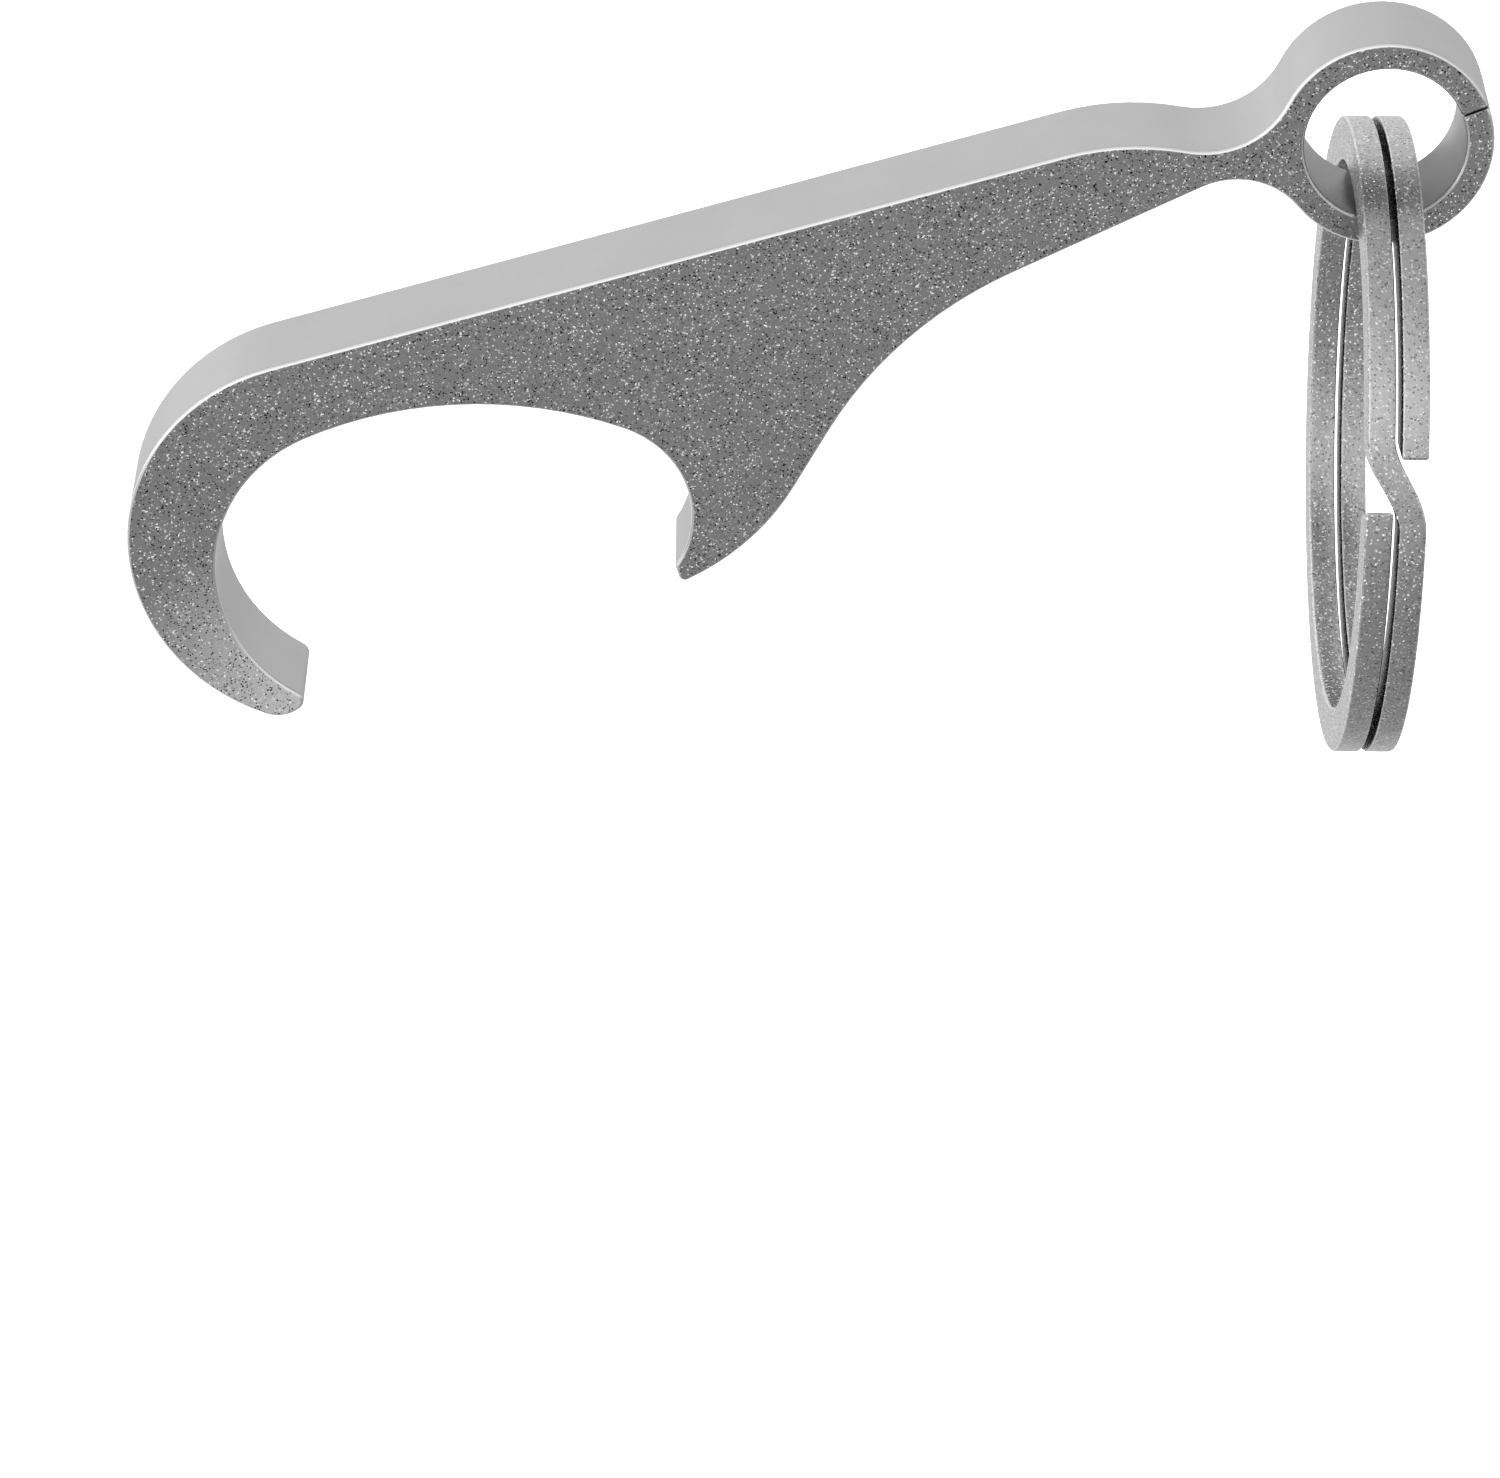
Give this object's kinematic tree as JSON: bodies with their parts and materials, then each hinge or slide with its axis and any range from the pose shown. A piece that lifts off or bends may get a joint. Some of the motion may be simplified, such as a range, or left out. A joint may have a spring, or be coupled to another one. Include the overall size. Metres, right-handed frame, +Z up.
{
  "type": "keychain bottle opener",
  "caption": "Flat metal keychain bottle opener: a hook and tooth either side of an arched mouth, a straight spine, a waved neck and an eye carrying a flat two-turn split ring.",
  "frame": {"origin": "centre of the eye's bore, half way through the plate's thickness", "axes": "+Z up, +Y through the eye's bore, away from the front face; the hook points to -X with the spine sloping up 16.3 degrees towards the eye, and the split ring hangs down -Z"},
  "size_m": [0.0597, 0.0282, 0.0339],
  "materials": {
    "opener_plate": "bead-blasted stainless steel plate with finely broken edges: mid grey, matt, with fine bright sparkle from the blasted pits",
    "ring_strip": "blasted spring steel strip, a little lighter and smoother than the plate, with rounded corners"
  },
  "bodies": {
    "opener": {"opener_body": "opener_plate"},
    "ring": {"split_ring": "ring_strip"}
  },
  "joints": [
    {"name": "ring_swing", "type": "hinge", "parent": "opener", "child": "ring", "pos_m": [0, 0, 0], "axis": [0, 1, 0], "range_deg": [-275, 55]}
  ]
}
